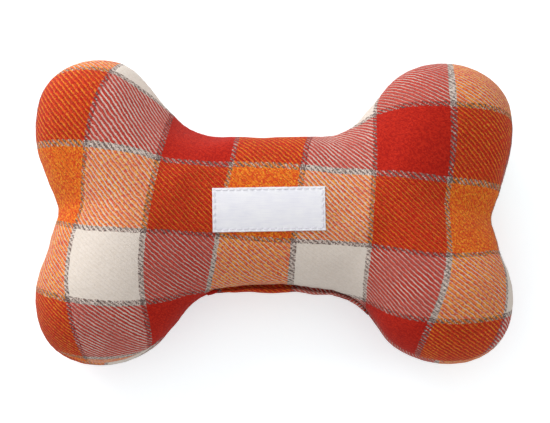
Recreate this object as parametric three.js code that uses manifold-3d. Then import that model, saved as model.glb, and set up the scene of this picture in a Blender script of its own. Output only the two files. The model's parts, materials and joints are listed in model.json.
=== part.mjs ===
import * as THREE from 'three';
import { mergeVertices } from 'three/addons/utils/BufferGeometryUtils.js';
import Module from 'manifold-3d';

// A stuffed bone with a squeaker inside, lying on its rear panel, in millimetres with +Z up.
// X runs along the bone, and the origin is the middle of the surface that the bone lies on.
// Two fabric panels are sewn together round one outline, turned, stuffed and sewn shut.

// Outline of the bone seen from above
const boneLength = 241;
const boneWidth = 157;
const waistWidth = 77;
const lobeRadius = 36;
const waistFilletRadius = 20;
const notchFilletRadius = 8;
const flankSlopeDegrees = 53;
const notchSlopeDegrees = 19;

// Swell of each panel above or below the seam
const lobeHalfThickness = 31;
const waistHalfThickness = 28.5;
const swellPowerShare = 0.56;
const neckJunctionShare = 0.4;
const restFlatDepth = 0.5;

// Fabric, seam and fit
const fabricThickness = 1.5;
const seamAllowance = 7;
const seamThreadRadius = 0.3;
const fitGap = 0.3;

// Closing stitch on the turning gap, at the waist on the -Y side
const closingLength = 58;
const closingStitchPitch = 5.8;
const closingStitchReach = 0.8;
const closingThreadRadius = 0.3;

// Woven label sewn on the front panel
const labelLength = 56;
const labelWidth = 22;
const labelThickness = 0.6;
const labelCentreX = -2.3;
const labelCentreY = -5.7;
const labelStitchInset = 1.2;
const labelThreadRadius = 0.2;

// Squeaker bladder, blown in one piece with a neck for the reed tube
const bladderDiameter = 50;
const bladderHeight = 24;
const bladderRimWidth = 13;
const bladderWall = 1;
const bladderNeckHeight = 3;

// Reed tube pressed into the neck, and what it holds
const reedTubeDiameter = 12;
const reedTubeWall = 1.4;
const reedTubeLength = 14;
const reedFlangeOverhang = 1.5;
const reedFlangeThickness = 1;
const reedBedLength = 12;
const reedWedgeLength = 4;
const reedRootLength = 2;
const reedLength = 9;
const reedWidth = 5;
const reedThickness = 0.3;
const airChannelWidth = 2.6;
const airChannelDepth = 1.8;

// Fill
const shaftFillLength = 100;

// Counts of steps along each stretch of a quarter of the outline
const waistSteps = 4;
const filletSteps = 3;
const armSteps = 3;
const lobeSteps = 10;

// Levels from the seam, 0, to the crown, 1, of the outer and inner faces of a panel
const outerLevelShares = [0, 0.05, 0.17, 0.36, 0.6, 0.84, 1];
const innerLevelShares = [0, 0.1, 0.3, 0.6, 1];

// Sizes worked out from the ones above
const lobeCentre = new THREE.Vector2(boneLength / 2 - lobeRadius, boneWidth / 2 - lobeRadius);
const waistHalfWidth = waistWidth / 2;
const seamHeight = lobeHalfThickness - restFlatDepth;
const faceGap = fitGap / 2;
const neckBore = reedTubeDiameter / 2 + fitGap;
const bladderTop = bladderHeight / 2 + bladderNeckHeight;
const reedTubeBore = reedTubeDiameter / 2 - reedTubeWall;
const reedGap = reedThickness / 2 + fitGap;

const wasm = await Module();
wasm.setup();

const onPlane = (x, y) => new THREE.Vector2(x, y);
const radians = THREE.MathUtils.degToRad;

// The outline turns through three circles and the straight stretches that touch them

function tangentPoint(centre, radius, degrees) {
  const angle = radians(degrees);
  return onPlane(centre.x + radius * Math.cos(angle), centre.y + radius * Math.sin(angle));
}

function arcPoints(centre, radius, fromDegrees, toDegrees, steps) {
  const points = [];
  for (let i = 1; i <= steps; i += 1) {
    points.push(tangentPoint(centre, radius, fromDegrees + ((toDegrees - fromDegrees) * i) / steps));
  }
  return points;
}

function linePoints(from, to, steps) {
  const points = [];
  for (let i = 1; i <= steps; i += 1) {
    points.push(from.clone().lerp(to, i / steps));
  }
  return points;
}

// Centre of the fillet between the waist's edge and the flank that touches the lobe
function waistFilletCentre() {
  const flankStart = tangentPoint(lobeCentre, lobeRadius, 90 + flankSlopeDegrees);
  const slope = radians(flankSlopeDegrees);
  const y = waistHalfWidth + waistFilletRadius;
  const reach = waistFilletRadius / Math.sin(slope);
  const x = flankStart.x - (flankStart.y - y) / Math.tan(slope) - reach;
  return onPlane(x, y);
}

// Centre of the fillet between the two lobes' sides, where they meet at the end of the bone
function notchFilletCentre() {
  const slope = radians(notchSlopeDegrees);
  const notch = (lobeRadius - lobeCentre.y * Math.sin(slope)) / Math.cos(slope);
  return onPlane(lobeCentre.x + notch + notchFilletRadius / Math.cos(slope), 0);
}

// Each station pairs a point of the outline with the point of the crown that it rises to.
// The crown runs along the middle of the shaft and out along an arm to each lobe's centre.
// Its rise is the share of the way from the waist's thickness to the lobes' thickness.
function quarterStations() {
  const waistFillet = waistFilletCentre();
  const notchFillet = notchFilletCentre();
  const waistMiddle = onPlane(0, waistHalfWidth);
  const filletStart = onPlane(waistFillet.x, waistHalfWidth);
  const notch = onPlane(notchFillet.x - notchFilletRadius, 0);
  const junction = onPlane(filletStart.x, 0).lerp(notch, neckJunctionShare);
  const filletArc = arcPoints(waistFillet, waistFilletRadius, -90, flankSlopeDegrees - 90, filletSteps);
  const flankTop = tangentPoint(lobeCentre, lobeRadius, 90 + flankSlopeDegrees);
  const flank = linePoints(filletArc.at(-1), flankTop, armSteps);
  const lobe = arcPoints(lobeCentre, lobeRadius, 90 + flankSlopeDegrees, -notchSlopeDegrees, lobeSteps);
  const notchTop = tangentPoint(notchFillet, notchFilletRadius, 180 - notchSlopeDegrees);
  const notchSide = linePoints(lobe.at(-1), notchTop, armSteps - 1);

  const edge = [waistMiddle, ...linePoints(waistMiddle, filletStart, waistSteps), ...filletArc];
  edge.push(...flank, ...lobe, ...notchSide, notch);
  const crown = [onPlane(0, 0), ...linePoints(onPlane(0, 0), onPlane(filletStart.x, 0), waistSteps)];
  crown.push(...linePoints(onPlane(filletStart.x, 0), junction, filletSteps));
  crown.push(...linePoints(junction, lobeCentre, armSteps));
  crown.push(...Array(lobeSteps).fill(lobeCentre));
  crown.push(...linePoints(lobeCentre, junction, armSteps));
  const rise = ({ x }) => THREE.MathUtils.smoothstep(x, filletStart.x, junction.x);
  return edge.map((point, i) => ({ edge: point, crown: crown[i], rise: rise(crown[i]) }));
}

function mirrored(stations, signX, signY) {
  const sign = onPlane(signX, signY);
  return stations.map(({ edge, crown, rise }) => (
    { edge: edge.clone().multiply(sign), crown: crown.clone().multiply(sign), rise }
  ));
}

function outlineStations() {
  const quarter = quarterStations();
  const forward = quarter.slice(0, -1);
  const backward = quarter.slice(1).reverse();
  return [
    ...mirrored(forward, 1, 1),
    ...mirrored(backward, 1, -1),
    ...mirrored(forward, -1, -1),
    ...mirrored(backward, -1, 1),
  ];
}

const stations = outlineStations();

function swell(share) {
  return (1 - (1 - share) ** 2) ** swellPowerShare;
}

function halfThickness(rise) {
  return THREE.MathUtils.lerp(waistHalfThickness, lobeHalfThickness, rise);
}

// A ring of points at one level of a face that starts inset from the outline at height foot
// and ends at the crown, which lies sunk below the panel's outer face
function swellRing(level, inset, foot, sunk, side) {
  return stations.map(({ edge, crown, rise }) => {
    const start = edge.clone().add(crown.clone().sub(edge).setLength(inset));
    const place = start.lerp(crown, level);
    const top = halfThickness(rise) - sunk;
    const height = foot + (top - foot) * swell(level);
    return new THREE.Vector3(place.x, place.y, side * height);
  });
}

function flatRing(inset, height) {
  return swellRing(0, inset, height, 0, 1);
}

// Triangles between neighbouring rings of equally many points, without those that have no area
function ringSurface(rings, wrapped) {
  const count = rings[0].length;
  const positions = rings.flat().flatMap((point) => point.toArray());
  const triangles = [];
  const bands = wrapped ? rings.length : rings.length - 1;
  for (let band = 0; band < bands; band += 1) {
    const low = band * count;
    const high = ((band + 1) % rings.length) * count;
    for (let i = 0; i < count; i += 1) {
      const next = (i + 1) % count;
      triangles.push(low + i, low + next, high + next, low + i, high + next, high + i);
    }
  }
  const geometry = new THREE.BufferGeometry();
  geometry.setAttribute('position', new THREE.Float32BufferAttribute(positions, 3));
  geometry.setIndex(triangles);
  return facingOut(withoutEmptyTriangles(mergeVertices(geometry)));
}

function withoutEmptyTriangles(geometry) {
  const index = geometry.getIndex().array;
  const kept = [];
  for (let i = 0; i < index.length; i += 3) {
    const [a, b, c] = [index[i], index[i + 1], index[i + 2]];
    if (a !== b && b !== c && c !== a) {
      kept.push(a, b, c);
    }
  }
  geometry.setIndex(kept);
  return geometry;
}

function signedVolume(geometry) {
  const position = geometry.getAttribute('position');
  const index = geometry.getIndex().array;
  const corner = (i) => new THREE.Vector3().fromBufferAttribute(position, index[i]);
  let sum = 0;
  for (let i = 0; i < index.length; i += 3) {
    sum += corner(i).dot(corner(i + 1).cross(corner(i + 2)));
  }
  return sum;
}

function facingOut(geometry) {
  if (signedVolume(geometry) < 0) {
    geometry.setIndex(Array.from(geometry.getIndex().array).reverse());
  }
  return geometry;
}

function toSolid(geometry) {
  const bare = geometry.clone();
  for (const name of Object.keys(bare.attributes)) {
    if (name !== 'position') {
      bare.deleteAttribute(name);
    }
  }
  const merged = mergeVertices(bare);
  return new wasm.Manifold(new wasm.Mesh({
    numProp: 3,
    vertProperties: new Float32Array(merged.getAttribute('position').array),
    triVerts: new Uint32Array(merged.getIndex().array),
  }));
}

function toGeometry(solid) {
  const mesh = solid.getMesh();
  const geometry = new THREE.BufferGeometry();
  geometry.setAttribute('position', new THREE.Float32BufferAttribute(mesh.vertProperties, 3));
  geometry.setIndex(Array.from(mesh.triVerts));
  return geometry;
}

function meshNamed(name, geometry, material) {
  geometry.computeVertexNormals();
  const mesh = new THREE.Mesh(geometry, material);
  mesh.name = name;
  return mesh;
}

const plaidFabric = () => new THREE.MeshStandardMaterial({ color: 0xc95a33, roughness: 0.95, metalness: 0 });
const sewingThread = () => new THREE.MeshStandardMaterial({ color: 0xb5302a, roughness: 0.8, metalness: 0 });
const wovenSatin = () => new THREE.MeshStandardMaterial({ color: 0xeeeef4, roughness: 0.6, metalness: 0 });
const labelThread = () => new THREE.MeshStandardMaterial({ color: 0xe2e3ea, roughness: 0.7, metalness: 0 });
const polyesterFill = () => new THREE.MeshStandardMaterial({ color: 0xf4f3ee, roughness: 1, metalness: 0 });
const softPlastic = () => new THREE.MeshStandardMaterial({ color: 0xf1f1ea, roughness: 0.45, metalness: 0 });
const hardPlastic = () => new THREE.MeshStandardMaterial({ color: 0xfafafa, roughness: 0.35, metalness: 0 });
const reedFilm = () => new THREE.MeshStandardMaterial({ color: 0xdfe6ea, roughness: 0.25, metalness: 0 });

// A panel is the swollen face, one fabric thick, with its seam allowance turned in along the seam.
// Its rings run upwards on both sides of the seam, so that its facets nest with those of the fill.
function panelGeometry(side) {
  const foot = faceGap + fabricThickness;
  const outer = outerLevelShares.map((level) => swellRing(level, 0, faceGap, 0, side));
  const inner = innerLevelShares.map((level) => swellRing(level, fabricThickness, foot, fabricThickness, side));
  const allowance = [flatRing(seamAllowance, side * foot), flatRing(seamAllowance, side * faceGap)];
  const rings = [...inner.reverse(), ...allowance, ...outer];
  if (side > 0) {
    rings.reverse();
  }
  rings.flat().forEach((point) => point.setZ(Math.max(point.z, -seamHeight)));
  return ringSurface(rings, false);
}

// A thread is a thin closed tube round a loop of points, with one corner of its section up
function threadLoop(points, radius) {
  const up = new THREE.Vector3(0, 0, radius);
  const rings = points.map((point, i) => {
    const before = points.at(i - 1);
    const after = points[(i + 1) % points.length];
    const across = after.clone().sub(before).cross(up).setLength(radius);
    return [
      point.clone().add(up),
      point.clone().add(across),
      point.clone().sub(up),
      point.clone().sub(across),
    ];
  });
  return ringSurface(rings, true);
}

// The stitch line lies on the allowance, just inside the wall of its panel
function seamThreadGeometry(side) {
  const height = faceGap + fabricThickness + fitGap + seamThreadRadius;
  return threadLoop(flatRing(2 * fabricThickness, side * height), seamThreadRadius);
}

// The ladder stitch that closes the turning gap crosses from one panel's fold to the other
function closingThreadGeometry() {
  const stitches = Math.round(closingLength / closingStitchPitch);
  const y = -waistHalfWidth - fitGap - closingThreadRadius;
  const points = [];
  for (let i = 0; i <= 2 * stitches; i += 1) {
    const x = -closingLength / 2 + (closingLength * i) / (2 * stitches);
    const reach = i % 4 < 2 ? closingStitchReach : -closingStitchReach;
    points.push(new THREE.Vector3(x, y, reach));
  }
  const section = new THREE.Shape();
  section.absarc(0, 0, closingThreadRadius, 0, 2 * Math.PI);
  return new THREE.ExtrudeGeometry(section, {
    steps: 4 * stitches,
    curveSegments: 5,
    extrudePath: new THREE.CatmullRomCurve3(points),
    bevelEnabled: false,
  });
}

// Height of the front panel's outer face over the waist, above the seam
function waistFaceHeight(y) {
  const level = 1 - Math.abs(y) / waistHalfWidth;
  return faceGap + (waistHalfThickness - faceGap) * swell(level);
}

// The label bends over the waist, its section drawn in Y and Z and extruded along X
function labelGeometry() {
  const steps = 6;
  const low = [];
  const high = [];
  for (let i = 0; i <= steps; i += 1) {
    const y = labelCentreY - labelWidth / 2 + (labelWidth * i) / steps;
    const base = waistFaceHeight(y) + fitGap;
    low.push(onPlane(y, base));
    high.push(onPlane(y, base + labelThickness));
  }
  const section = new THREE.Shape([...low, ...high.reverse()]);
  const geometry = new THREE.ExtrudeGeometry(section, { depth: labelLength, bevelEnabled: false });
  geometry.applyMatrix4(sectionAlongX());
  return geometry.translate(labelCentreX - labelLength / 2, 0, 0);
}

function sectionAlongX() {
  const alongX = new THREE.Vector3(1, 0, 0);
  const alongY = new THREE.Vector3(0, 1, 0);
  const alongZ = new THREE.Vector3(0, 0, 1);
  return new THREE.Matrix4().makeBasis(alongY, alongZ, alongX);
}

// One row of stitches runs round the label, a little inside its edge
function labelThreadGeometry() {
  const halfX = labelLength / 2 - labelStitchInset;
  const halfY = labelWidth / 2 - labelStitchInset;
  const corners = [onPlane(-halfX, -halfY), onPlane(halfX, -halfY), onPlane(halfX, halfY), onPlane(-halfX, halfY)];
  const sideSteps = [2, 6, 2, 6];
  const plan = corners.flatMap((corner, i) => linePoints(corner, corners[(i + 1) % 4], sideSteps[i]));
  const lift = fitGap + labelThickness + fitGap + labelThreadRadius;
  const points = plan.map(({ x, y }) => {
    const placeY = labelCentreY + y;
    return new THREE.Vector3(labelCentreX + x, placeY, waistFaceHeight(placeY) + lift);
  });
  return threadLoop(points, labelThreadRadius);
}

// The fill follows the inside of both panels and is grooved round the allowances and threads
function fillSolid() {
  const foot = faceGap + fabricThickness;
  const sunk = fabricThickness + fitGap;
  const groove = foot + 2 * fitGap + 2 * seamThreadRadius;
  const half = (side) => {
    const levels = innerLevelShares.map((level) => swellRing(level, sunk, foot, sunk, side));
    const lip = levels[0].map((low, i) => {
      const high = levels[1][i];
      return low.clone().lerp(high, (groove - foot) / (Math.abs(high.z) - foot));
    });
    return [flatRing(seamAllowance + fitGap, side * groove), lip, ...levels.slice(1)];
  };
  return toSolid(ringSurface([...half(-1).reverse(), ...half(1)], false));
}

function block(lowX, highX, lowY, highY, lowZ, highZ) {
  const geometry = new THREE.BoxGeometry(highX - lowX, highY - lowY, highZ - lowZ);
  return toSolid(geometry.translate((lowX + highX) / 2, (lowY + highY) / 2, (lowZ + highZ) / 2));
}

function turnedSolid(profile) {
  return toSolid(turned(profile));
}

function turned(profile) {
  const geometry = new THREE.LatheGeometry(profile, 24);
  return geometry.rotateX(Math.PI / 2);
}

// Half of a disc's profile with a rounded rim, from its lower face out and up to its upper face
function discProfile(radius, halfHeight, rimWidth) {
  const steps = 8;
  const points = [];
  for (let i = 0; i <= steps; i += 1) {
    const angle = -Math.PI / 2 + (Math.PI * i) / steps;
    points.push(onPlane(radius - rimWidth + rimWidth * Math.cos(angle), halfHeight * Math.sin(angle)));
  }
  return points;
}

function bladderGeometry() {
  const outer = discProfile(bladderDiameter / 2, bladderHeight / 2, bladderRimWidth);
  const inner = discProfile(
    bladderDiameter / 2 - bladderWall,
    bladderHeight / 2 - bladderWall,
    bladderRimWidth - bladderWall,
  );
  const neckOuter = neckBore + bladderWall;
  return turned([
    onPlane(0, -bladderHeight / 2),
    ...outer,
    onPlane(neckOuter, bladderHeight / 2),
    onPlane(neckOuter, bladderTop),
    onPlane(neckBore, bladderTop),
    onPlane(neckBore, bladderHeight / 2 - bladderWall),
    ...inner.reverse(),
    onPlane(0, bladderWall - bladderHeight / 2),
  ]);
}

// Room that the fill leaves for the bladder, its neck and the flange of the reed tube
function squeakerRoom() {
  const body = discProfile(bladderDiameter / 2 + fitGap, bladderHeight / 2 + fitGap, bladderRimWidth);
  const neck = neckBore + bladderWall + reedFlangeOverhang + fitGap;
  const top = bladderTop + fitGap + reedFlangeThickness + fitGap;
  return turnedSolid([
    onPlane(0, -bladderHeight / 2 - fitGap),
    ...body,
    onPlane(neck, bladderHeight / 2 + fitGap),
    onPlane(neck, top),
    onPlane(0, top),
  ]);
}

function reedTubeGeometry() {
  const outer = reedTubeDiameter / 2;
  const flange = neckBore + bladderWall + reedFlangeOverhang;
  const seat = bladderTop + fitGap;
  const top = seat + reedFlangeThickness;
  const low = top - reedTubeLength;
  return turned([
    onPlane(reedTubeBore, low),
    onPlane(outer, low),
    onPlane(outer, seat),
    onPlane(flange, seat),
    onPlane(flange, top),
    onPlane(reedTubeBore, top),
    onPlane(reedTubeBore, low),
  ]);
}

// The lower end of everything that is clamped in the reed tube is measured from its flange
const reedTubeTop = bladderTop + fitGap + reedFlangeThickness;

// Outline of a half-round plug whose flat face stands off the reed, open to the channel if given
function plugSection(radius, channelWidth, channelDepth) {
  const edge = Math.acos(reedGap / radius);
  const section = new THREE.Shape();
  section.absarc(0, 0, radius, -Math.PI / 2 - edge, -Math.PI / 2 + edge);
  if (channelWidth > 0) {
    section.lineTo(channelWidth / 2, -reedGap);
    section.lineTo(channelWidth / 2, -reedGap - channelDepth);
    section.lineTo(-channelWidth / 2, -reedGap - channelDepth);
    section.lineTo(-channelWidth / 2, -reedGap);
  }
  section.closePath();
  return section;
}

function plugGeometry(length, channelWidth, channelDepth) {
  const section = plugSection(reedTubeBore - fitGap, channelWidth, channelDepth);
  const geometry = new THREE.ExtrudeGeometry(section, {
    depth: length,
    curveSegments: 10,
    bevelEnabled: false,
  });
  return geometry.translate(0, 0, reedTubeTop - length);
}

function reedGeometry() {
  const top = reedTubeTop - reedWedgeLength + reedRootLength;
  const geometry = new THREE.BoxGeometry(reedWidth, reedThickness, reedLength);
  return geometry.translate(0, 0, top - reedLength / 2);
}

// Outside

function addPanels(toy) {
  toy.add(meshNamed('front_panel', panelGeometry(1), plaidFabric()));
  toy.add(meshNamed('rear_panel', panelGeometry(-1), plaidFabric()));
}

function addSeams(toy) {
  toy.add(meshNamed('seam_needle_thread', seamThreadGeometry(1), sewingThread()));
  toy.add(meshNamed('seam_bobbin_thread', seamThreadGeometry(-1), sewingThread()));
  toy.add(meshNamed('closing_thread', closingThreadGeometry(), sewingThread()));
}

function addLabel(toy) {
  toy.add(meshNamed('label', labelGeometry(), wovenSatin()));
  toy.add(meshNamed('label_thread', labelThreadGeometry(), labelThread()));
}

// Inside

function addFill(toy) {
  const fill = fillSolid();
  const shaft = shaftFillLength / 2;
  const ends = [['left', -1], ['right', 1]];
  const rows = [['near', -1], ['far', 1]];
  for (const [end, signX] of ends) {
    for (const [row, signY] of rows) {
      const xs = [signX * (shaft + faceGap), signX * boneLength].sort((a, b) => a - b);
      const ys = [signY * faceGap, signY * boneWidth].sort((a, b) => a - b);
      const corner = block(...xs, ...ys, -lobeHalfThickness, lobeHalfThickness);
      toy.add(meshNamed(`fill_${row}_${end}_lobe`, toGeometry(fill.intersect(corner)), polyesterFill()));
    }
  }
  const room = squeakerRoom();
  const waist = [-shaft + faceGap, shaft - faceGap, -boneWidth, boneWidth];
  const above = fill.intersect(block(...waist, faceGap, lobeHalfThickness)).subtract(room);
  const below = fill.intersect(block(...waist, -lobeHalfThickness, -faceGap)).subtract(room);
  toy.add(meshNamed('fill_above_squeaker', toGeometry(above), polyesterFill()));
  toy.add(meshNamed('fill_below_squeaker', toGeometry(below), polyesterFill()));
}

function addSqueaker(toy) {
  const squeaker = new THREE.Group();
  squeaker.add(meshNamed('squeaker_bladder', bladderGeometry(), softPlastic()));
  squeaker.add(meshNamed('reed_tube', reedTubeGeometry(), hardPlastic()));
  squeaker.add(meshNamed('reed_bed', plugGeometry(reedBedLength, airChannelWidth, airChannelDepth), hardPlastic()));
  const wedge = meshNamed('reed_wedge', plugGeometry(reedWedgeLength, 0, 0), hardPlastic());
  wedge.rotation.z = Math.PI;
  squeaker.add(wedge);
  squeaker.add(meshNamed('reed', reedGeometry(), reedFilm()));
  toy.add(squeaker);
}

const toy = new THREE.Group();
toy.position.z = seamHeight;
addPanels(toy);
addSeams(toy);
addLabel(toy);
addFill(toy);
addSqueaker(toy);

export default toy;
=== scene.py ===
# A stuffed bone-shaped dog toy of plaid wool with a sewn-on label and a squeaker inside.
# Lengths are in metres. The bone lies on the floor with its length along X and its height along Z.

import json
import math

import bmesh
import bpy
import numpy as np
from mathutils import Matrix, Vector, noise
from mathutils.bvhtree import BVHTree
from mathutils.kdtree import KDTree

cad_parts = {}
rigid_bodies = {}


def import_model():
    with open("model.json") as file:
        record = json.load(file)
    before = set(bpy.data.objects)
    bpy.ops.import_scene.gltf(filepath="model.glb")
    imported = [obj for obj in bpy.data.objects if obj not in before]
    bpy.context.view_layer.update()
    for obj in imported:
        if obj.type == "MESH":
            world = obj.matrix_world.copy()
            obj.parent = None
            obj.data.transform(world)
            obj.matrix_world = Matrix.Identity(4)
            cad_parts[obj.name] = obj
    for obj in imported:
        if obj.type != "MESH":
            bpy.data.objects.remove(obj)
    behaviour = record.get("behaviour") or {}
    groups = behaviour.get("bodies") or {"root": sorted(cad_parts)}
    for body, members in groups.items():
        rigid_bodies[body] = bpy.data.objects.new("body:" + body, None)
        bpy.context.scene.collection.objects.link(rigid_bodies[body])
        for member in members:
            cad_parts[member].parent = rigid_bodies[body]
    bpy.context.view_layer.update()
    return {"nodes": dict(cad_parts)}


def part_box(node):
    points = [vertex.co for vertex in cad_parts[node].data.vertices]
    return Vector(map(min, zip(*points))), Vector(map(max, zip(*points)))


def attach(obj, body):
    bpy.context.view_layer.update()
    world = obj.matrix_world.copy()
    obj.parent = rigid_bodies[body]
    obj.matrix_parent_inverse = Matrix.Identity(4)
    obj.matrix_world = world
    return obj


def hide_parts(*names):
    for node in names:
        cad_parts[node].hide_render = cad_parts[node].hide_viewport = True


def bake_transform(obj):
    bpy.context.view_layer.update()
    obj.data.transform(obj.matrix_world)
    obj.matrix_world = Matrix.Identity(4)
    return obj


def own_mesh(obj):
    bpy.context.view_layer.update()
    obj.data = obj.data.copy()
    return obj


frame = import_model()

# Outline of the bone, as the CAD panels are cut
LOBE_RADIUS = 0.036
WAIST_WIDTH = 0.077
WAIST_FILLET = 0.020
NOTCH_FILLET = 0.008
FLANK_SLOPE = math.radians(53)
NOTCH_SLOPE = math.radians(19)
NECK_SHARE = 0.4
WAIST_HALF_THICKNESS = 0.0285
SWELL_POWER = 0.56

# Making of the cloth
RING_CROWDING = 1.6
VOXEL = 0.0026
SEAM_SNAP = 0.0009
SLIVER = 0.0004
SEAM_SHRINK = 0.04
CLOTH_PRESSURE = 8.0
CLOTH_BENDING = 2.0
CLOTH_FRAMES = 12
CLOTH_REACH = 0.0012
FOLD_SMOOTHINGS = 5
SHAPE_SMOOTHINGS = 220
SEAM_CREASE = 0.0008
CREASE_REACH = 0.0022
FOLD_RADIUS = 0.0011
FOLD_ZONE = 0.004
FOLD_GAP = 0.00015
ALLOWANCE = 0.006
FABRIC_THICKNESS = 0.001
PUCKER_PITCH = 0.0042
PUCKER_DEPTH = 0.00035
PUCKER_REACH = 0.007

# Uneven stuffing: the outline leans from its cut shape near each of these places.
# Each is a centre in plan, the reach of the lean, and the shift there.
LEANS = {
    "left far corner": (-0.108, 0.058, 0.026, -0.0021, 0.0026),
    "left far lobe": (-0.082, 0.078, 0.024, -0.001, 0.0),
    "left far lobe, inner side": (-0.064, 0.066, 0.012, -0.0025, 0.0),
    "left far flank": (-0.055, 0.050, 0.022, -0.005, -0.003),
    "right far flank": (0.055, 0.050, 0.022, 0.001, -0.001),
    "right far lobe": (0.082, 0.078, 0.024, 0.001, -0.001),
    "right far corner": (0.110, 0.058, 0.026, 0.003, -0.0005),
    "right notch, far side": (0.117, 0.022, 0.015, 0.002, 0.0),
    "right notch": (0.112, 0.004, 0.024, 0.0015, -0.0045),
    "right near corner": (0.110, -0.055, 0.026, 0.0011, -0.003),
    "right near lobe": (0.082, -0.078, 0.024, 0.0015, 0.0005),
    "right near flank": (0.050, -0.045, 0.022, -0.001, -0.0035),
    "right near bay": (0.044, -0.050, 0.013, 0.0028, 0.0024),
    "near waist, right": (0.027, -0.042, 0.014, 0.0, -0.0009),
    "near waist": (0.0, -0.040, 0.035, 0.0, -0.001),
    "left near bay": (-0.044, -0.048, 0.013, -0.0022, 0.0008),
    "left near flank": (-0.050, -0.045, 0.022, 0.0015, -0.0035),
    "left near corner": (-0.110, -0.055, 0.026, 0.0, -0.0038),
    "left notch, far side": (-0.117, 0.022, 0.015, -0.0025, 0.0),
}
LEAN_FREE_RADIUS = 0.026

# Where the opening was closed by hand, the rear panel's lip stands up beyond a deep crease. At each
# rise from the seam, this is how far out a panel's cloth goes, and how far past the seam it is drawn.
CLOSING_MIDDLE = 0.0072
CLOSING_REACH = 0.0408
CLOSING_CREASE = 0.0022
CLOSING_DROP = 0.0029
DROP_REACH = 0.004
LIP_RISES = (0.0011, 0.002, 0.003, 0.0041, 0.0052, 0.0065, 0.0078, 0.009, 0.013, 0.018, 0.025)
FRONT_LIP_OUT = (SEAM_CREASE - CLOSING_CREASE, -0.001, -0.0009, -0.0007, -0.0004, -0.0001,
                 0, 0, 0, 0, 0)
FRONT_LIP_DRAWN = (CLOSING_DROP, 0.0032, 0.0023, 0.0013, 0.0006, 0.0002, 0, 0, 0, 0, 0)
REAR_LIP_OUT = (SEAM_CREASE - CLOSING_CREASE, -0.0007, 0.0003, 0.0009, 0.0016, 0.003,
                0.0038, 0.0042, 0.0032, 0.0012, 0)
REAR_LIP_DRAWN = (-CLOSING_DROP, -0.0021, -0.0002, 0.0029, 0.0054, 0.0064, 0.006, 0.0055, 0.0035, 0.0015, 0)

# Half length and half width of the part of a crown that settles how its flat cloth lies, and its rise
CROWN_PATCH = (0.03, 0.012)
CROWN_RISE = 0.02

# Plaid, measured on the flat cloth
WARP_PITCH = 0.00078
WEFT_PITCH = 0.00063
CHECK_PITCH = 0.0386
MARL_WIDTH = 0.0030
DASH = 0.0008
MARL_DASH = 0.00045

# How the cloth's grain runs over the flattened panel: it is turned, and bows over the lobes
WARP_SPREAD, WARP_LEAN, WARP_BOW, WARP_FLARE = 1.036, -0.12, -0.5, 18.0
WEFT_SPREAD, WEFT_FALL, WEFT_ARCH, WEFT_TWIST, WEFT_BOW, WEFT_FLARE = 1.047, 0.085, -0.4, 0.5, -0.8, 16.0
FRONT_SHIFT = (-0.0126, 0.0218)
REAR_SHIFT = (-0.0026, 0.003)
PULL_REACH = 0.030
# Where stuffing draws the grain aside: a place on the flattened front panel, and the pull there
PULLS = {
    "left far lobe": (-0.095, 0.030, -0.0015, 0.0015),
    "left notch": (-0.100, -0.015, 0.0025, 0.0025),
    "left near lobe": (-0.095, -0.055, -0.0025, 0.0005),
    "left far flank": (-0.060, 0.045, -0.0022, 0.0),
    "left neck": (-0.060, 0.005, -0.0005, 0.0015),
    "left near flank": (-0.055, -0.050, 0.0022, 0.0),
    "far waist, left": (-0.020, 0.035, -0.002, 0.0),
    "near waist, left": (-0.025, -0.035, 0.001, -0.0005),
    "far waist, right": (0.015, 0.035, -0.001, -0.002),
    "near waist, right": (0.012, -0.035, -0.0005, -0.0015),
    "right far flank": (0.050, 0.048, 0.004, -0.0038),
    "right neck": (0.050, 0.0, 0.0003, 0.0005),
    "right near flank": (0.048, -0.045, 0.0, 0.0005),
    "right far lobe": (0.088, 0.060, 0.0015, 0.006),
    "right notch": (0.088, 0.015, -0.0012, 0.002),
    "right near lobe": (0.085, -0.030, -0.0038, 0.0035),
    "right far tip": (0.080, 0.088, -0.005, 0.0),
    "right far corner": (0.120, 0.045, 0.0, -0.003),
}

# Threads
SEAM_STITCH = 0.0025
SEAM_THREAD_RADIUS = 0.0002
SEAM_THREAD_INSET = 0.0027
CLOSING_PITCH = 0.0058
CLOSING_RADIUS = 0.00025
CLOSING_SLANT = 0.0006
CLOSING_SINK = 0.0002
CLOSING_BITE = 0.0012
CLOSING_HALF_HEIGHT = 0.0013
LABEL_STITCH = 0.0034
LABEL_STITCH_INSET = 0.0012
LABEL_THREAD_RADIUS = 0.00016
LABEL_STITCH_GAP = 0.08

# Label
LABEL_SIZE = Vector((0.056, 0.022))
LABEL_THICKNESS = 0.0004
LABEL_TURN = math.radians(1)
LABEL_CELL = 0.00045
RIBBON_PITCH = 0.00035
RIBBON_PICK = 0.0006
LABEL_SHIFT = Vector((0.0001, 0.0007))
LABEL_WANDER = 0.00012
LABEL_LIFT = 0.00005
NEEDLE_DENT = 0.0005
NEEDLE_REACH = 0.0005

# Squeaker
PLASTIC_WALL = 0.001
BLADDER_RIM = 0.013
TUBE_WALL = 0.0014
FLANGE_THICKNESS = 0.001
TUBE_RADIUS = 0.006
FLANGE_OVERHANG = 0.0015
EDGE_BREAK = 0.0003
NECK_FILLET = 0.0008
MOULD_LINE = 0.0003
PRESSED_RING = ((0.006, 0.0), (0.0068, 0.0006), (0.0082, 0.0006), (0.009, 0.0))

# Filling
FLUFF_VOXEL = 0.0016
FLUFF_INSET = 0.0006
FLUFF_LUMP = 0.0005
REED_ROOM = 0.005
REED_ROOM_EDGE = (0.001, 0.003)
REED_ROOM_BAND = (-0.0005, 0.004)

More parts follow.
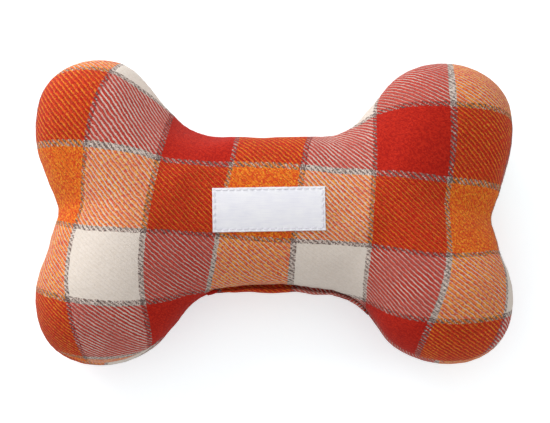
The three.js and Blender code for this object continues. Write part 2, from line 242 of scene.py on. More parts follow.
low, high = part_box("front_panel")
rear_low, rear_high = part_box("rear_panel")
BONE_LENGTH = high.x - low.x
BONE_WIDTH = high.y - low.y
SEAM_Z = (low.z + rear_high.z) / 2
LOBE_HALF_THICKNESS = high.z - SEAM_Z
LOBE_CENTRE = Vector((BONE_LENGTH / 2 - LOBE_RADIUS, BONE_WIDTH / 2 - LOBE_RADIUS))

# Camera and light
CAMERA_ELEVATION = math.radians(77)
CAMERA_DISTANCE = 1.4
CAMERA_TARGET = Vector((0.0008, 0.0, SEAM_Z))
VIEW_WIDTH = 0.278
SENSOR_WIDTH = 36.0
WORLD_LEVEL = 0.7
FLOOR_LIFT = 0.5
FLOOR_TINT = (0.96, 1, 1.02, 1)
FLOOR_HALF = 3.0
KEY_PLACE = (-0.66, 0.86, 0.53)
KEY_SIZE = 1.0
KEY_WATTS = 11.5


# Bone surface by formula

def on_circle(centre, radius, angle):
    return Vector((centre[0] + radius * math.cos(angle), centre[1] + radius * math.sin(angle)))


def arc(centre, radius, start, end, steps):
    return [on_circle(centre, radius, start + (end - start) * i / steps) for i in range(1, steps + 1)]


def line(start, end, steps):
    return [Vector(start).lerp(Vector(end), i / steps) for i in range(1, steps + 1)]


def quarter_stations(waist=14, fillet=10, arm=10, lobe=36):
    """Outline points of one quarter with the crown point that each rises to, and the crown's rise."""
    flank_top = on_circle(LOBE_CENTRE, LOBE_RADIUS, math.pi / 2 + FLANK_SLOPE)
    fillet_y = WAIST_WIDTH / 2 + WAIST_FILLET
    fillet_x = flank_top.x - (flank_top.y - fillet_y) / math.tan(FLANK_SLOPE)
    fillet_x -= WAIST_FILLET / math.sin(FLANK_SLOPE)
    notch_x = LOBE_CENTRE.x + NOTCH_FILLET / math.cos(NOTCH_SLOPE)
    notch_x += (LOBE_RADIUS - LOBE_CENTRE.y * math.sin(NOTCH_SLOPE)) / math.cos(NOTCH_SLOPE)
    notch = Vector((notch_x - NOTCH_FILLET, 0))
    start = Vector((fillet_x, WAIST_WIDTH / 2))
    junction = Vector((fillet_x, 0)).lerp(notch, NECK_SHARE)
    edge = [Vector((0, WAIST_WIDTH / 2))]
    edge += line(edge[0], start, waist)
    edge += arc((fillet_x, fillet_y), WAIST_FILLET, -math.pi / 2, FLANK_SLOPE - math.pi / 2, fillet)
    edge += line(edge[-1], flank_top, arm)
    edge += arc(LOBE_CENTRE, LOBE_RADIUS, math.pi / 2 + FLANK_SLOPE, -NOTCH_SLOPE, lobe)
    edge += line(edge[-1], on_circle((notch_x, 0), NOTCH_FILLET, math.pi - NOTCH_SLOPE), arm - 1)
    edge += [notch]
    crown = [Vector((0, 0))] + line((0, 0), (fillet_x, 0), waist)
    crown += line((fillet_x, 0), junction, fillet)
    crown += line(junction, LOBE_CENTRE, arm)
    crown += [LOBE_CENTRE] * lobe
    crown += line(LOBE_CENTRE, junction, arm)
    edge, crown = np.array(edge), np.array(crown)
    rise = np.clip((crown[:, 0] - fillet_x) / (junction.x - fillet_x), 0, 1)
    return edge, crown, rise * rise * (3 - 2 * rise)


def outline_stations():
    edge, crown, rise = quarter_stations()
    parts = []
    for sign, order in (((1, 1), 1), ((1, -1), -1), ((-1, -1), 1), ((-1, 1), -1)):
        keep = slice(0, -1) if order > 0 else slice(None, 0, -1)
        parts.append((edge[keep] * sign, crown[keep] * sign, rise[keep]))
    return [np.concatenate(arrays) for arrays in zip(*parts)]


def inward_normals(edge):
    """At each outline point, the direction into the bone."""
    ahead = np.roll(edge, -1, axis=0) - np.roll(edge, 1, axis=0)
    inward = np.column_stack([ahead[:, 1], -ahead[:, 0]]) / np.linalg.norm(ahead, axis=1)[:, None]
    return inward * -np.sign(inward[0] @ edge[0])


def tree_of(edge):
    """Finds the outline point that is nearest to a place in plan."""
    tree = KDTree(len(edge))
    for i, place in enumerate(edge):
        tree.insert((*place, 0), i)
    tree.balance()
    return tree


def linked(name, data):
    """A new object of this data, in the scene."""
    obj = bpy.data.objects.new(name, data)
    bpy.context.scene.collection.objects.link(obj)
    return obj


def new_object(name, vertices, faces):
    mesh = bpy.data.meshes.new(name)
    mesh.from_pydata([tuple(v) for v in vertices], [], faces)
    mesh.update()
    return linked(name, mesh)


def from_bmesh(bm, name):
    mesh = bpy.data.meshes.new(name)
    bm.to_mesh(mesh)
    bm.free()
    return linked(name, mesh)


def values_of(items, name, width=1, kind=float):
    """One property of all these items, as an array with a row for each."""
    values = np.empty(len(items) * width, kind)
    items.foreach_get(name, values)
    return values.reshape(-1, width) if width > 1 else values


def coordinates(obj):
    return values_of(obj.data.vertices, "co", 3)


def set_coordinates(obj, co):
    obj.data.vertices.foreach_set("co", co.ravel())
    obj.data.update()


def apply_modifiers(obj):
    depsgraph = bpy.context.evaluated_depsgraph_get()
    mesh = bpy.data.meshes.new_from_object(obj.evaluated_get(depsgraph), depsgraph=depsgraph)
    obj.modifiers.clear()
    old = obj.data
    obj.data = mesh
    bpy.data.meshes.remove(old)


def remesh(obj, voxel_size):
    modifier = obj.modifiers.new("remesh", "REMESH")
    modifier.mode = "VOXEL"
    modifier.voxel_size = voxel_size
    apply_modifiers(obj)


def thicken(obj, thickness, offset):
    modifier = obj.modifiers.new("thick", "SOLIDIFY")
    modifier.thickness = thickness
    modifier.offset = offset
    apply_modifiers(obj)


def stuffed_body(levels=22):
    """One closed body, both panels swelling from the shared outline, in even quads."""
    edge, crown, rise = outline_stations()
    count = len(edge)
    top = WAIST_HALF_THICKNESS + (LOBE_HALF_THICKNESS - WAIST_HALF_THICKNESS) * rise
    rings = []
    for k in range(-levels, levels + 1):
        level = (abs(k) / levels) ** RING_CROWDING
        swell = (1 - (1 - level) ** 2) ** SWELL_POWER
        place = edge + (crown - edge) * level
        height = SEAM_Z + math.copysign(1, k) * top * swell
        rings.append(np.column_stack([place, height]))
    faces = []
    for ring in range(2 * levels):
        a, b = ring * count, (ring + 1) * count
        faces += [(a + i, a + (i + 1) % count, b + (i + 1) % count, b + i) for i in range(count)]
    body = new_object("body", np.concatenate(rings), faces)
    bm = bmesh.new()
    bm.from_mesh(body.data)
    bmesh.ops.remove_doubles(bm, verts=bm.verts, dist=1e-6)
    bmesh.ops.recalc_face_normals(bm, faces=bm.faces)
    bm.to_mesh(body.data)
    bm.free()
    remesh(body, VOXEL)
    return body


def cut_at_seam(body):
    """Cuts an edge loop along the seam; returns which vertices lie on it."""
    co = coordinates(body)
    near = np.abs(co[:, 2] - SEAM_Z) < SEAM_SNAP
    co[near, 2] = SEAM_Z
    set_coordinates(body, co)
    bm = bmesh.new()
    bm.from_mesh(body.data)
    geom = bm.verts[:] + bm.edges[:] + bm.faces[:]
    bmesh.ops.bisect_plane(bm, geom=geom, dist=1e-5, plane_co=(0, 0, SEAM_Z), plane_no=(0, 0, 1))
    bmesh.ops.smooth_vert(bm, verts=[v for v in bm.verts if abs(v.co.z - SEAM_Z) > 1e-5], factor=0.5,
                          use_axis_x=True, use_axis_y=True, use_axis_z=True)
    bmesh.ops.remove_doubles(bm, verts=bm.verts, dist=SLIVER)
    bm.to_mesh(body.data)
    bm.free()


def on_seam(co):
    return np.abs(co[:, 2] - SEAM_Z) < 1e-5


def neighbour_means(body, values, rounds):
    """Each vertex's value drawn towards its neighbours' mean, this many times over."""
    edges = values_of(body.data.edges, "vertices", 2, int)
    one, other = edges.T
    count = np.bincount(edges.ravel(), minlength=len(values))[:, None]
    for _ in range(rounds):
        total = values * 1.0
        np.add.at(total, one, values[other])
        np.add.at(total, other, values[one])
        values = total / (count + 1)
    return values


def simulate_cloth(body):
    """Places after the cloth has swelled under pressure while the thread along the seam shrinks."""
    seam = on_seam(coordinates(body))
    group = body.vertex_groups.new(name="seam")
    group.add([int(i) for i in np.nonzero(seam)[0]], 1.0, "REPLACE")
    modifier = body.modifiers.new("cloth", "CLOTH")
    cloth = modifier.settings
    cloth.quality = 5
    cloth.bending_stiffness = CLOTH_BENDING
    cloth.effector_weights.gravity = 0
    cloth.use_pressure = True
    cloth.uniform_pressure_force = CLOTH_PRESSURE
    cloth.vertex_group_shrink = "seam"
    cloth.shrink_max = SEAM_SHRINK
    modifier.collision_settings.use_collision = False
    modifier.point_cache.frame_start = 1
    modifier.point_cache.frame_end = CLOTH_FRAMES
    for number in range(1, CLOTH_FRAMES + 1):
        bpy.context.scene.frame_set(number)
    apply_modifiers(body)
    bpy.context.scene.frame_set(1)
    body.vertex_groups.clear()
    return coordinates(body)


def drape_cloth(body):
    """Keeps the folds that the simulated cloth takes beside its tight seam, and the shape as it was cut."""
    rest = coordinates(body)
    seam = on_seam(rest)
    moved = simulate_cloth(body) - rest
    folds = neighbour_means(body, moved, FOLD_SMOOTHINGS)
    folds -= neighbour_means(body, moved, SHAPE_SMOOTHINGS)
    folds[seam, 2] = 0
    length = np.linalg.norm(folds, axis=1)
    folds *= (CLOTH_REACH * np.tanh(length / CLOTH_REACH) / np.maximum(length, 1e-9))[:, None]
    set_coordinates(body, rest + folds)


def settle_on_floor(co, depth=0.0006):
    """Presses what reaches below the floor flat on it, with a soft edge."""
    z = co[:, 2]
    co[:, 2] = np.where(z < 2 * depth, depth * np.exp(np.minimum(z / depth - 2, 0)) * 2, z)
    return co


def fold_steps():
    """Insets from the seam line and rises above it, round the folded edge and along the allowance."""
    angles = (math.pi / 8, math.pi / 4, 3 * math.pi / 8, math.pi / 2)
    steps = [(FOLD_RADIUS * (1 - math.cos(a)), FOLD_RADIUS * (1 - math.sin(a))) for a in angles]
    steps = [(inset, max(rise, FOLD_GAP)) for inset, rise in steps]
    return steps + [(ALLOWANCE / 2, FOLD_GAP), (ALLOWANCE, FOLD_GAP)]


def fold_edge_in(bm, side):
    """Extends the open edge round the fold and in along the allowance."""
    pairs = [tuple(e.verts) for e in bm.edges if e.is_boundary]
    rim = list(dict.fromkeys(v for pair in pairs for v in pair))
    inward = {v: -Vector((v.normal.x, v.normal.y, 0)).normalized() for v in rim}
    before = {v: v for v in rim}
    for inset, rise in fold_steps():
        after = {}
        for v in rim:
            place = v.co + inward[v] * inset
            place.z = SEAM_Z + side * rise
            after[v] = bm.verts.new(place)
        for one, other in pairs:
            bm.faces.new((before[one], before[other], after[other], after[one]))
        before = after


def panel_from(body, name, side):
    """One panel: the body's faces on one side of the seam, with their edge folded in and the allowance."""
    bm = bmesh.new()
    bm.from_mesh(body.data)
    away = [f for f in bm.faces if (f.calc_center_median().z - SEAM_Z) * side < 0]
    bmesh.ops.delete(bm, geom=away, context="FACES")
    bm.normal_update()
    for v in bm.verts:
        rise = abs(v.co.z - SEAM_Z)
        if rise < FOLD_ZONE:
            v.co.z = SEAM_Z + side * (FOLD_RADIUS + rise * (FOLD_ZONE - FOLD_RADIUS) / FOLD_ZONE)
    fold_edge_in(bm, side)
    bmesh.ops.recalc_face_normals(bm, faces=bm.faces)
    top = max(bm.faces, key=lambda f: f.calc_center_median().z * side)
    if top.normal.z * side < 0:
        bmesh.ops.reverse_faces(bm, faces=bm.faces)
    return from_bmesh(bm, name)


def select_only(obj):
    for other in bpy.context.view_layer.objects:
        other.select_set(False)
    obj.select_set(True)
    bpy.context.view_layer.objects.active = obj


def unwrap_flat(panel):
    """Lays the panel flat as it was cut, as the UV map cloth, in metres, crown centre at the origin."""
    mesh = panel.data
    mesh.uv_layers.new(name="cloth")
    select_only(panel)
    bpy.ops.object.mode_set(mode="EDIT")
    bpy.ops.mesh.select_all(action="SELECT")
    bpy.ops.uv.unwrap(method="MINIMUM_STRETCH", margin=0.0, iterations=40)
    bpy.ops.object.mode_set(mode="OBJECT")
    uv = values_of(mesh.uv_layers["cloth"].data, "uv", 2)
    place = coordinates(panel)[values_of(mesh.loops, "vertex_index", kind=int)]
    middle = (np.abs(place - (0, 0, SEAM_Z)) < (*CROWN_PATCH, 1)).all(1)
    middle &= np.abs(place[:, 2] - SEAM_Z) > CROWN_RISE
    a = uv[middle] - uv[middle].mean(0)
    b = place[middle, :2] - place[middle, :2].mean(0)
    u, s, vt = np.linalg.svd(a.T @ b)
    turn = u @ vt
    scale = s.sum() / (a * a).sum()
    return (uv - uv[middle].mean(0)) @ turn * scale + place[middle, :2].mean(0)


def lay_on_grain(panel, flat, shift, turned_over):
    """Turns the map cloth into places on the weave: across its columns, and along them."""
    u, v = (flat * (1, -1)).T if turned_over else flat.T
    column = WARP_SPREAD * u + WARP_LEAN * v + WARP_BOW * v ** 2 + WARP_FLARE * u * v ** 2
    row = WEFT_SPREAD * v + WEFT_FALL * u + WEFT_ARCH * u ** 2 + WEFT_TWIST * u * v
    row += WEFT_BOW * v ** 2 + WEFT_FLARE * v ** 3
    for place_u, place_v, pull_column, pull_row in PULLS.values():
        share = np.exp(-((u - place_u) ** 2 + (v - place_v) ** 2) / PULL_REACH ** 2)
        column += pull_column * share
        row += pull_row * share
    laid = np.column_stack([column, row]) + shift
    panel.data.uv_layers["cloth"].data.foreach_set("uv", laid.ravel())


def finish_panel(panel, side):
    """Fine quads, rolled lips, real thickness, and a map for baking with room for the cloth's two faces."""
    smooth = panel.modifiers.new("fine", "SUBSURF")
    smooth.levels = smooth.render_levels = 1
    apply_modifiers(panel)
    roll_lips(panel, side)
    faces, vertices = len(panel.data.polygons), len(panel.data.vertices)
    thicken(panel, FABRIC_THICKNESS, -1)
    shade_smooth(panel)
    add_bake_map(panel.data, faces, vertices)


def shade_smooth(obj):
    obj.data.polygons.foreach_set("use_smooth", [True] * len(obj.data.polygons))


def add_bake_map(mesh, faces, vertices, margin=0.01, rim=0.004):
    """The map OFBake: the cloth's outer face across the whole map, its inner face above at half size."""
    flat = values_of(mesh.uv_layers["cloth"].data, "uv", 2)
    corner = values_of(mesh.loops, "vertex_index", kind=int)
    sides = values_of(mesh.polygons, "loop_total", kind=int)
    face = np.repeat(np.arange(len(sides)), sides)
    size = np.ptp(flat, axis=0)
    scale = (1 - 2 * margin) / size[0]
    placed = (flat - flat.min(0)) * scale + margin
    inner = face >= faces
    shelf = placed[:, 1].max() + 2 * margin
    placed[inner] = (placed[inner] - margin) / 2 + (margin, shelf)
    middle = placed[inner].mean(0)
    outer_rim = (face >= 2 * faces) & (corner < vertices)
    away = placed[outer_rim] - middle
    placed[outer_rim] += rim * away / np.linalg.norm(away, axis=1)[:, None]
    layer = mesh.uv_layers.new(name="OFBake")
    layer.data.foreach_set("uv", placed.ravel())


def pucker_seam(body):
    """Small scallops beside the seam, where each stitch draws the cloth in."""
    edge = outline_stations()[0]
    length = np.concatenate([[0], np.cumsum(np.linalg.norm(np.diff(edge, axis=0), axis=1))])
    tree = tree_of(edge)
    co, normals = coordinates(body), values_of(body.data.vertex_normals, "vector", 3)
    for i, place in enumerate(co):
        rise = abs(place[2] - SEAM_Z)
        if rise > 3 * PUCKER_REACH:
            continue
        nearest, station, _ = tree.find((place[0], place[1], 0))
        ahead = edge[(station + 1) % len(edge)] - edge[station - 1]
        ahead /= np.linalg.norm(ahead)
        run = length[station] + (place[:2] - edge[station]) @ ahead
        wave = math.sin(2 * math.pi * run / PUCKER_PITCH + 2 * noise.noise((run * 60, 0, 0)))
        amount = 0.6 + 0.8 * noise.noise((run * 25, 5, 0))
        depth = PUCKER_DEPTH * amount * wave * math.exp(-(rise / PUCKER_REACH) ** 2)
        co[i] += normals[i] * depth
    set_coordinates(body, co)


def lean(co):
    """Shifts points in plan by the uneven stuffing; what lies round the squeaker stays."""
    shift = np.zeros((len(co), 2))
    for x, y, reach, shift_x, shift_y in LEANS.values():
        share = np.exp(-((co[:, 0] - x) ** 2 + (co[:, 1] - y) ** 2) / reach ** 2)
        shift += share[:, None] * (shift_x, shift_y)
    free = np.clip((np.hypot(co[:, 0], co[:, 1]) / LEAN_FREE_RADIUS - 1) * 2, 0, 1)
    moved = co.copy()
    moved[:, :2] += shift * (free * free * (3 - 2 * free))[:, None]
    return moved


def near_closing(co):
    """How near a place is to the hand-closed opening in the middle of the near side, from 0 to 1."""
    nearness = np.clip(-co[:, 1] / (WAIST_WIDTH / 2), 0, 1) ** 4
    return nearness * np.exp(-((co[:, 0] - CLOSING_MIDDLE) / CLOSING_REACH) ** 4)


def crease(co, closing_depth=CLOSING_CREASE):
    """Draws points in along the seam, and by the closing depth where it was closed by hand."""
    edge = outline_stations()[0]
    inward = inward_normals(edge)
    tree = tree_of(edge)
    depth = SEAM_CREASE + (closing_depth - SEAM_CREASE) * near_closing(co)
    drawn = co.copy()
    for i in np.nonzero(np.abs(co[:, 2] - SEAM_Z) < 3 * CREASE_REACH)[0]:
        _, station, away = tree.find((co[i, 0], co[i, 1], 0))
        share = math.exp(-((co[i, 2] - SEAM_Z) / CREASE_REACH) ** 2 - (away / ALLOWANCE) ** 2)
        drawn[i, :2] += inward[station] * depth[i] * share
    return drawn


def roll_lips(panel, side):
    """Rolls the panel's lip round the crease where the opening was closed by hand."""
    co = coordinates(panel)
    closing = near_closing(co)
    rise = np.abs(co[:, 2] - SEAM_Z)
    out, drawn = (FRONT_LIP_OUT, FRONT_LIP_DRAWN) if side > 0 else (REAR_LIP_OUT, REAR_LIP_DRAWN)
    co[:, 1] -= closing * np.interp(rise, LIP_RISES, out)
    co[:, 2] -= side * closing * np.interp(rise, LIP_RISES, drawn)
    set_coordinates(panel, co)


def follow_seam(co):
    """Moves what lies inside with the cloth: in at the seam, down at the closing, and by the lean."""
    drawn = crease(co)
    drop = near_closing(co) * np.exp(-((co[:, 2] - SEAM_Z) / DROP_REACH) ** 2)
    drawn[:, 2] -= CLOSING_DROP * drop
    return lean(drawn)


# Threads

def tube(bm, points, radius, reference, sides=6, closed=False):
    """Adds a round thread through the points; an open one has narrowed ends."""
    rings = []
    count = len(points)
    for k, point in enumerate(points):
        before = points[k - 1] if k or closed else point
        after = points[(k + 1) % count] if k + 1 < count or closed else point
        tangent = (after - before).normalized()
        across = tangent.cross(reference).normalized()
        up = across.cross(tangent)
        at_end = not closed and k in (0, count - 1)
        reach = radius * (0.5 if at_end else 1)
        angles = [2 * math.pi * i / sides for i in range(sides)]
        ring = [point + reach * (math.cos(a) * across + math.sin(a) * up) for a in angles]
        rings.append([bm.verts.new(place) for place in ring])
    pairs = list(zip(rings, rings[1:]))
    if closed:
        pairs.append((rings[-1], rings[0]))
    for one, other in pairs:
        for i in range(sides):
            j = (i + 1) % sides
            bm.faces.new((one[i], one[j], other[j], other[i]))
    if not closed:
        bm.faces.new(rings[0][::-1])
        bm.faces.new(rings[-1])


def object_from(bm, name):
    bmesh.ops.recalc_face_normals(bm, faces=bm.faces)
    obj = from_bmesh(bm, name)
    shade_smooth(obj)
    return obj


def inset_outline(inset, step):
    """The outline drawn in by inset, as evenly spaced points that close on themselves."""
    edge = outline_stations()[0]
    loop = edge + inward_normals(edge) * inset
    loop = np.vstack([loop, loop[:1]])
    run = np.concatenate([[0], np.cumsum(np.linalg.norm(np.diff(loop, axis=0), axis=1))])
    count = int(run[-1] / step)
    at = np.arange(count) * run[-1] / count
    return np.column_stack([np.interp(at, run, loop[:, 0]), np.interp(at, run, loop[:, 1])])


def lockstitch(name, side):
    """One thread of the seam: it lies along the allowance and dips into the cloth at each stitch."""
    points_per_stitch = 8
    path = inset_outline(SEAM_THREAD_INSET, SEAM_STITCH / points_per_stitch)
    lying = FOLD_GAP + FABRIC_THICKNESS + SEAM_THREAD_RADIUS
    points = []
    for k, place in enumerate(path):
        dip = (0.5 + 0.5 * math.cos(2 * math.pi * k / points_per_stitch)) ** 4
        points.append((*place, SEAM_Z + side * (lying - dip * FABRIC_THICKNESS)))
    points = [Vector(place) for place in follow_seam(np.array(points))]
    bm = bmesh.new()
    tube(bm, points, SEAM_THREAD_RADIUS, Vector((0, 0, 1)), closed=True)
    return object_from(bm, name)


def ladder_stitches(name):
    """Closes the opening by hand: short rungs across the seam, joined inside the folds."""
    start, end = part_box("closing_thread")
    count = round((end.x - start.x) / CLOSING_PITCH)
    face_y = -WAIST_WIDTH / 2 - CLOSING_RADIUS
    bm = bmesh.new()
    for k in range(count + 1):
        x = start.x + CLOSING_RADIUS + (end.x - start.x - 2 * CLOSING_RADIUS) * k / count
        slant = CLOSING_SLANT * (1 if k % 2 else -1)
        points = []
        for step in range(9):
            t = step / 4 - 1
            depth = CLOSING_SINK + CLOSING_BITE * t * t
            points.append((x + slant * t, face_y + depth, SEAM_Z + CLOSING_HALF_HEIGHT * t))
        points = [Vector(place) for place in follow_seam(np.array(points))]
        tube(bm, points, CLOSING_RADIUS, Vector((1, 0, 0)), sides=8)
    return object_from(bm, name)


# Label

def height_above(tree, x, y):
    hit, _, _, _ = tree.ray_cast(Vector((x, y, 2 * high.z)), Vector((0, 0, -1)))
    return hit.z


def label_point(s, t):
    """Place in plan of a point of the label, s and t running from -1 to 1 across it."""
    low_corner, high_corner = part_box("label")
    centre = (low_corner + high_corner).to_2d() / 2 + LABEL_SHIFT
    x, y = s * LABEL_SIZE.x / 2, t * LABEL_SIZE.y / 2
    turned = Vector((x * math.cos(LABEL_TURN) - y * math.sin(LABEL_TURN),
                     x * math.sin(LABEL_TURN) + y * math.cos(LABEL_TURN)))
    return Vector((centre.x + turned.x, centre.y + turned.y))


def stitch_holes():
    """Needle holes round the label, one list for each side."""
    inset_s = 1 - 2 * LABEL_STITCH_INSET / LABEL_SIZE.x
    inset_t = 1 - 2 * LABEL_STITCH_INSET / LABEL_SIZE.y
    corners = [(-inset_s, -inset_t), (inset_s, -inset_t), (inset_s, inset_t), (-inset_s, inset_t)]
    sides = []
    for k in range(4):
        start, end = label_point(*corners[k]), label_point(*corners[(k + 1) % 4])
        count = round((end - start).length / LABEL_STITCH)
        sides.append([start.lerp(end, i / count) for i in range(count + 1)])
    return sides


def label_heights(tree, columns, rows):
    """Height of the label's underside: it rests on the cover and bridges its small hollows."""
    under = np.array([[height_above(tree, *label_point(s, t)) for s in columns] for t in rows])
    rest = under.copy()
    for _ in range(30):
        padded = np.pad(rest, 1, mode="edge")
        rest = (padded[:-2, 1:-1] + padded[2:, 1:-1] + padded[1:-1, :-2] + padded[1:-1, 2:]) / 4
    return np.maximum(rest, under) + LABEL_LIFT


def sewn_label(tree):
    columns = np.linspace(-1, 1, round(LABEL_SIZE.x / LABEL_CELL) + 1)
    rows = np.linspace(-1, 1, round(LABEL_SIZE.y / LABEL_CELL) + 1)
    heights = label_heights(tree, columns, rows)
    holes = [hole for side in stitch_holes() for hole in side]
    vertices = []
    for j, t in enumerate(rows):
        for i, s in enumerate(columns):
            place = label_point(s, t)
            wander = 2 * LABEL_WANDER * noise.noise((place.x * 300, place.y * 300, 0))
            place = label_point(s * (1 + wander / LABEL_SIZE.x), t * (1 + wander / LABEL_SIZE.y))
            near = min((place - hole).length_squared for hole in holes)
            dent = NEEDLE_DENT * math.exp(-near / NEEDLE_REACH ** 2)
            vertices.append((place.x, place.y, heights[j, i] - dent))
    width = len(columns)
    faces = [(a, a + 1, a + width + 1, a + width)
             for j in range(len(rows) - 1) for a in range(j * width, (j + 1) * width - 1)]
    label = new_object("label_ribbon", vertices, faces)
    thicken(label, LABEL_THICKNESS, 1)
    shade_smooth(label)
    return label


def label_stitches(tree):
    bm = bmesh.new()
    for side in stitch_holes():
        for start, end in zip(side, side[1:]):
            start_z, end_z = height_above(tree, *start), height_above(tree, *end)
            middle = start.lerp(end, 0.5)
            top = height_above(tree, *middle) + LABEL_THICKNESS + LABEL_THREAD_RADIUS * 1.3
            points = []
            for k in range(9):
                t = k / 8
                arch = 1 - (2 * t - 1) ** 4
                foot = start_z + (end_z - start_z) * t
                place = start.lerp(end, LABEL_STITCH_GAP + (1 - 2 * LABEL_STITCH_GAP) * t)
                points.append(Vector((*place, foot + (top - foot) * arch)))
            tube(bm, points, LABEL_THREAD_RADIUS, Vector((0, 0, 1)))
    return object_from(bm, "label_stitches")


# Filling and squeaker

def leave_reed_room(co):
    """Lifts what lies just over the reed, which a squeeze brings nearer to it."""
    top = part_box("reed_tube")[1]
    beyond, rise = np.hypot(co[:, 0], co[:, 1]) - top.x, co[:, 2] - top.z
    over = np.interp(beyond, REED_ROOM_EDGE, (1, 0))
    over *= (rise > REED_ROOM_BAND[0]) & (rise < REED_ROOM_BAND[1])
    co[:, 2] += REED_ROOM * over


def fluffed(node_name, name):
    """A mass of loose filling in the space of its CAD solid, with a lumpy surface drawn slightly in."""
    mass = linked(name, frame["nodes"][node_name].data.copy())
    mass.data.materials.clear()
    remesh(mass, FLUFF_VOXEL)
    co, normals = coordinates(mass), values_of(mass.data.vertex_normals, "vector", 3)
    for i, place in enumerate(co):
        lumps = noise.noise(place * 90) * 0.6 + noise.noise(place * 260) * 0.4
        co[i] -= normals[i] * (FLUFF_INSET + FLUFF_LUMP * lumps)
    leave_reed_room(co)
    set_coordinates(mass, follow_seam(co))
    shade_smooth(mass)
    return mass


def lathe(name, profile, segments=72):
    """A turned solid; the profile is a closed list of (radius, height)."""
    bm = bmesh.new()
    # A ring on the axis is one vertex, so its quads become triangles
    rings = []
    for radius, height in profile:
        if radius < 1e-7:
            rings.append([bm.verts.new((0, 0, height))] * segments)
            continue
        angles = [2 * math.pi * i / segments for i in range(segments)]
        ring = [(radius * math.cos(a), radius * math.sin(a), height) for a in angles]
        rings.append([bm.verts.new(place) for place in ring])
    for one, other in zip(rings, rings[1:] + rings[:1]):
        for i in range(segments):
            j = (i + 1) % segments
            corners = list(dict.fromkeys((one[i], one[j], other[j], other[i])))
            if len(corners) > 2:
                bm.faces.new(corners)
    return object_from(bm, name)


def rounded(profile, radius, steps=4):
    """The same profile with each corner rounded."""
    points = [Vector(p) for p in profile]
    made = []
    for k, corner in enumerate(points):
        before, after = points[k - 1], points[(k + 1) % len(points)]
        if corner.x < 1e-7:
            made.append(corner)
            continue
        reach = min(radius, (before - corner).length / 2.2, (after - corner).length / 2.2)
        start = corner + (before - corner).normalized() * reach
        end = corner + (after - corner).normalized() * reach
        for i in range(steps + 1):
            t = i / steps
            made.append(start.lerp(corner, t).lerp(corner.lerp(end, t), t))
    return made


def rim_curve(radius, half_height, rim, steps=20):
    """Half of a disc's edge, from the lower flat face round to the upper one."""
    points = []
    for k in range(steps + 1):
        angle = -math.pi / 2 + math.pi * k / steps
        points.append(Vector((radius - rim + rim * math.cos(angle), half_height * math.sin(angle))))
    return points


def bladder():
    """Blown pouch with a moulding line round its edge, a ring pressed in below, and an open neck."""
    start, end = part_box("squeaker_bladder")
    half, top = SEAM_Z - start.z, end.z - SEAM_Z
    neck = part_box("reed_tube")[1].x - FLANGE_OVERHANG
    bore = neck - PLASTIC_WALL
    edge = end.x - MOULD_LINE
    ring = [(place, height - half) for place, height in PRESSED_RING]
    outer = rim_curve(edge, half, BLADDER_RIM)
    outer[len(outer) // 2].x += MOULD_LINE
    neck_up = [(neck + NECK_FILLET, half), (neck, half + NECK_FILLET), (neck, top - EDGE_BREAK),
               (neck - EDGE_BREAK, top), (bore + EDGE_BREAK, top), (bore, top - EDGE_BREAK),
               (bore, half - PLASTIC_WALL)]
    inner = rim_curve(edge - PLASTIC_WALL, half - PLASTIC_WALL, BLADDER_RIM - PLASTIC_WALL)
    profile = [(0, -half)] + ring + outer + neck_up + inner[::-1] + [(0, PLASTIC_WALL - half)]
    return lathe("squeaker_pouch", [(radius, height + SEAM_Z) for radius, height in profile])


def reed_sleeve():
    start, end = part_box("reed_tube")
    bore = TUBE_RADIUS - TUBE_WALL
    seat = end.z - FLANGE_THICKNESS
    corners = [(bore, start.z), (TUBE_RADIUS, start.z), (TUBE_RADIUS, seat), (end.x, seat), (end.x, end.z),
               (bore, end.z)]
    return lathe("reed_sleeve", rounded(corners, EDGE_BREAK), segments=64)


# Materials

def srgb(red, green, blue):
    """The colour that shows as these 0 to 255 values, in the renderer's linear units."""
    shares = [value / 255 for value in (red, green, blue)]
    linear = [c / 12.92 if c <= 0.04045 else ((c + 0.055) / 1.055) ** 2.4 for c in shares]
    return (*linear, 1.0)


